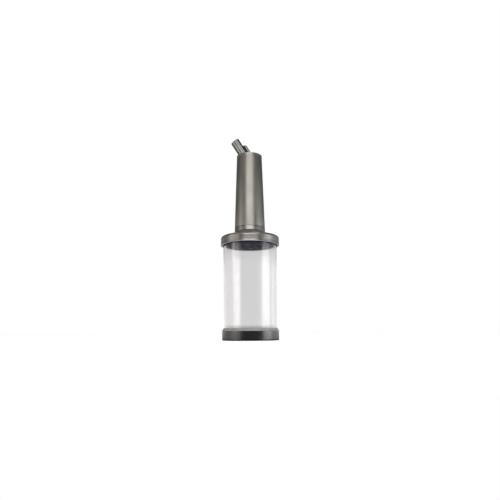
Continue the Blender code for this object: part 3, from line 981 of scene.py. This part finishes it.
class POUR_BOTTLE_OT_pourer(bpy.types.Operator):
    """Make the stopper with its seals, the pour tube and the air tube"""

    bl_idname = "pour_bottle.pourer"
    bl_label = "Stopper and tubes"

    def stopper(self, pourer, pour_radius, air_offset, air_radius):
        """The flanged stopper, grooved for its seals and bored for both tubes."""
        foot, top = PLUG_BOX[0].z, PLUG_BOX[1].z
        under, socket = top - pourer.flange, PLUG_BOX[1].x - settings().neck.top_wall
        body, edge = socket - pourer.clearance, pourer.edge
        outline = [
            (0.0, top),
            *arc(PLUG_BOX[1].x - edge, top - edge, edge, 90, 0),
            (PLUG_BOX[1].x - pourer.draft, under),
            (body, under),
        ]
        for node in PLUG_SEALS:
            low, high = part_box(node)
            floor, head = low.z - GAP, high.z + GAP
            outline += [
                (body, head),
                (body - pourer.groove, head),
                (body - pourer.groove, floor),
                (body, floor),
            ]
        outline += [(body, foot), (0.0, foot)]
        piece = turned("stopper", outline, ready(metallic_coat))
        # The normals are weighed anew once the holes are cut
        piece.modifiers.clear()
        cutters = [
            hole_cutter("pour_hole", tube_line(0.0, foot - OVERRUN), pour_radius + pourer.tube_fit),
            hole_cutter("air_hole", tube_line(air_offset, foot - OVERRUN), air_radius + pourer.tube_fit),
        ]
        for cutter in cutters:
            modifier = piece.modifiers.new(cutter.name, "BOOLEAN")
            modifier.operation = "DIFFERENCE"
            modifier.object = cutter
        depsgraph = bpy.context.evaluated_depsgraph_get()
        bored = bpy.data.meshes.new_from_object(piece.evaluated_get(depsgraph))
        piece.modifiers.clear()
        piece.data = bored
        bored.set_sharp_from_angle(angle=SHARP_ANGLE)
        weigh_normals(piece)
        for cutter in cutters:
            bpy.data.objects.remove(cutter)
        return piece

    def execute(self, context):
        pourer = settings().pourer
        air_radius = AIR_BOX[1].y + pourer.air_swell
        air_offset = AIR_BOX[1].x - AIR_BOX[1].y - pourer.air_shift
        pour_radius = POUR_BOX[1].y + pourer.pour_swell
        stopper = self.stopper(pourer, pour_radius, air_offset, air_radius)
        seat(stopper, "spout_body", "metallic_plastic", "spout_plug")

        steel = polished_steel()
        line = tube_line(0.0, POUR_BOX[0].z)
        pour = bent_tube("bent_pour_tube", line, pour_radius, pourer.pour_wall, steel)
        seat(pour, "spout_body", "steel_tube", "pour_tube")
        line = tube_line(air_offset, AIR_BOX[0].z)
        air = bent_tube("bent_air_tube", line, air_radius, pourer.air_wall, steel, AIR_BOX[1].z)
        seat(air, "spout_body", "steel_tube", "breather_tube")

        body = PLUG_BOX[1].x - settings().neck.top_wall - pourer.clearance
        bore = body - pourer.groove + GAP
        for node in PLUG_SEALS:
            low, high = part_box(node)
            crest, middle, half = high.x - body, (low.z + high.z) / 2, (high.z - low.z) / 2
            bulge = []
            for step in range(-ROUND_STEPS, ROUND_STEPS + 1):
                along = step / ROUND_STEPS
                bulge.append((body + crest * (1.0 - along * along), middle + half * along))
            outline = [(bore, low.z), *bulge, (bore, high.z)]
            ring = turned(f"{node}_ring", outline, ready(seal_rubber))
            seat(ring, "seal_body", "seal_rubber", node)
        return {"FINISHED"}


class POUR_BOTTLE_OT_stage(bpy.types.Operator):
    """Set the pale floor, the soft lamps and the camera"""

    bl_idname = "pour_bottle.stage"
    bl_label = "Floor, lamps and camera"

    def floor(self, stage):
        """White where it is seen. Dim in reflections, but for a pool of light behind and a ring of it."""
        bm = bmesh.new()
        bmesh.ops.create_circle(bm, cap_ends=True, segments=FLOOR_SEGMENTS, radius=FLOOR_RADIUS)
        finish = Finish("pale_floor").feed(Roughness=1.0, Specular_IOR_Level=0.0)
        path = finish.nodes.new("ShaderNodeLightPath").outputs
        dim = opaque((stage.room,) * 3)
        seen = finish.join("MAXIMUM", path["Is Camera Ray"], path["Is Transmission Ray"])
        pool = finish.spread(finish.distance(POOL_PLACE), POOL_GLOW, 0.0, *POOL_EDGE)
        axis = finish.distance((0.0, 0.0, 0.0))
        inner = finish.spread(axis, 0.0, RING_GLOW, *RING_INNER)
        ring = finish.join("MULTIPLY", inner, finish.spread(axis, 1.0, 0.0, *RING_OUTER))
        mirrored = finish.join("MULTIPLY", path["Is Glossy Ray"], finish.join("ADD", pool, ring))
        finish.feed(
            Base_Color=finish.between(path["Is Glossy Ray"], opaque(stage.floor_colour), dim),
            Emission_Color=WHITE,
            Emission_Strength=finish.join("ADD", finish.join("MULTIPLY", seen, FLOOR_GLOW), mirrored),
        )
        floor = add_piece("pale_floor", bm, finish.material)

    def soften(self, data, edge):
        """Fades a lamp towards its edges, as a soft box does. A lamp's own coordinates run from 0 to 1."""
        data.use_nodes = True
        graph = Graph(data.node_tree)
        place = graph.parts("ShaderNodeNewGeometry", "Parametric")
        fades = []
        for axis in ("X", "Y"):
            off = graph.join("ABSOLUTE", graph.join("SUBTRACT", place[axis], 0.5))
            fades.append(graph.spread(off, 1.0, 0.0, 0.5 - edge, 0.5, eased=True))
        graph.put(graph.join("MULTIPLY", *fades), graph.nodes["Emission"].inputs["Strength"])

    def lamp(self, name, power, colour):
        """A soft lamp of the table LAMPS."""
        azimuth, reach, low, high, width, aim, edge = LAMPS[name]
        angle, middle = math.radians(azimuth), (low + high) / 2
        place = Vector((reach * math.sin(angle), -reach * math.cos(angle), middle))
        data = bpy.data.lights.new(f"{name}_lamp", "AREA")
        data.shape = "RECTANGLE"
        data.size, data.size_y = width, high - low
        data.color = colour
        data.energy = power * GLOW * math.pi * data.size * data.size_y
        self.soften(data, edge)
        lamp = bpy.data.objects.new(f"{name}_lamp", data)
        lamp.location = place
        lamp.rotation_euler = (Vector((0.0, 0.0, aim)) - place).to_track_quat("-Z", "Y").to_euler()
        lamp.visible_camera = False
        bpy.context.scene.collection.objects.link(lamp)

    def world(self, stage):
        """White where it is seen, a dim room over a low white wall in reflections, else plain light."""
        world = bpy.data.worlds.new("studio")
        world.use_nodes = True
        graph = Graph(world.node_tree)
        path = graph.nodes.new("ShaderNodeLightPath").outputs
        place = graph.parts("ShaderNodeTexCoord", "Generated")
        top = graph.spread(place["Z"], GLOW * stage.low_wall, 0.0, *WALL_TOP, eased=True)
        front = graph.spread(place["Y"], 0.0, 1.0, *WALL_FRONT, eased=True)
        backdrop = graph.spread(place["Y"], stage.room, 1.0, *BACKDROP, eased=True)
        room = graph.join("MAXIMUM", graph.join("MULTIPLY", top, front), backdrop)
        seen = graph.join("MAXIMUM", path["Is Camera Ray"], path["Is Transmission Ray"])
        mirrored = graph.between(path["Is Glossy Ray"], stage.ambient, room, "FLOAT")
        background = graph.nodes["Background"]
        background.inputs["Color"].default_value = WHITE
        graph.put(graph.between(seen, mirrored, 1.0, "FLOAT"), background.inputs["Strength"])
        bpy.context.scene.world = world

    def camera(self, stage):
        """The camera, as fitted to the photograph."""
        data = bpy.data.cameras.new("camera")
        data.lens = LENS
        data.shift_x = SHIFT_ACROSS
        data.shift_y = SHIFT_UP
        camera = bpy.data.objects.new("camera", data)
        camera.location = (0.0, -stage.camera_distance, stage.camera_height)
        camera.rotation_euler = (math.pi / 2, ROLL, 0.0)
        bpy.context.scene.collection.objects.link(camera)
        bpy.context.scene.camera = camera

    def execute(self, context):
        stage = settings().stage
        self.floor(stage)
        tints = {"left": stage.amber, "right": stage.cool, "right_back": stage.cool}
        for name in LAMPS:
            self.lamp(name, getattr(stage, f"{name}_glow"), tints.get(name, stage.warm))
        self.world(stage)
        self.camera(stage)
        context.scene.view_settings.view_transform = "Standard"
        return {"FINISHED"}


class POUR_BOTTLE_PT_panel(bpy.types.Panel):
    """Lists the settings and the steps that make the bottle"""

    bl_label = "Pour Bottle"
    bl_idname = "POUR_BOTTLE_PT_panel"
    bl_space_type = "VIEW_3D"
    bl_region_type = "UI"
    bl_category = "Pour Bottle"

    def draw(self, context):
        bottle = context.scene.pour_bottle
        for operator, group in zip(OPERATORS, GROUPS):
            box = self.layout.box()
            box.operator(operator.bl_idname)
            part = getattr(bottle, group)
            for name in part.__annotations__:
                box.prop(part, name)


OPERATORS = (
    POUR_BOTTLE_OT_base,
    POUR_BOTTLE_OT_container,
    POUR_BOTTLE_OT_lid,
    POUR_BOTTLE_OT_neck,
    POUR_BOTTLE_OT_pourer,
    POUR_BOTTLE_OT_stage,
)
GROUPS = ("base", "container", "lid", "neck", "pourer", "stage")
CLASSES = (
    BaseSettings,
    ContainerSettings,
    LidSettings,
    NeckSettings,
    PourerSettings,
    StageSettings,
    BottleSettings,
    *OPERATORS,
    POUR_BOTTLE_PT_panel,
)


def register():
    for cls in CLASSES:
        bpy.utils.register_class(cls)
    bpy.types.Scene.pour_bottle = bpy.props.PointerProperty(type=BottleSettings)


def unregister():
    del bpy.types.Scene.pour_bottle
    for cls in reversed(CLASSES):
        bpy.utils.unregister_class(cls)


def main():
    register()
    bpy.ops.pour_bottle.base()
    bpy.ops.pour_bottle.container()
    bpy.ops.pour_bottle.lid()
    bpy.ops.pour_bottle.neck()
    bpy.ops.pour_bottle.pourer()
    bpy.ops.pour_bottle.stage()


if __name__ == "__main__":
    main()
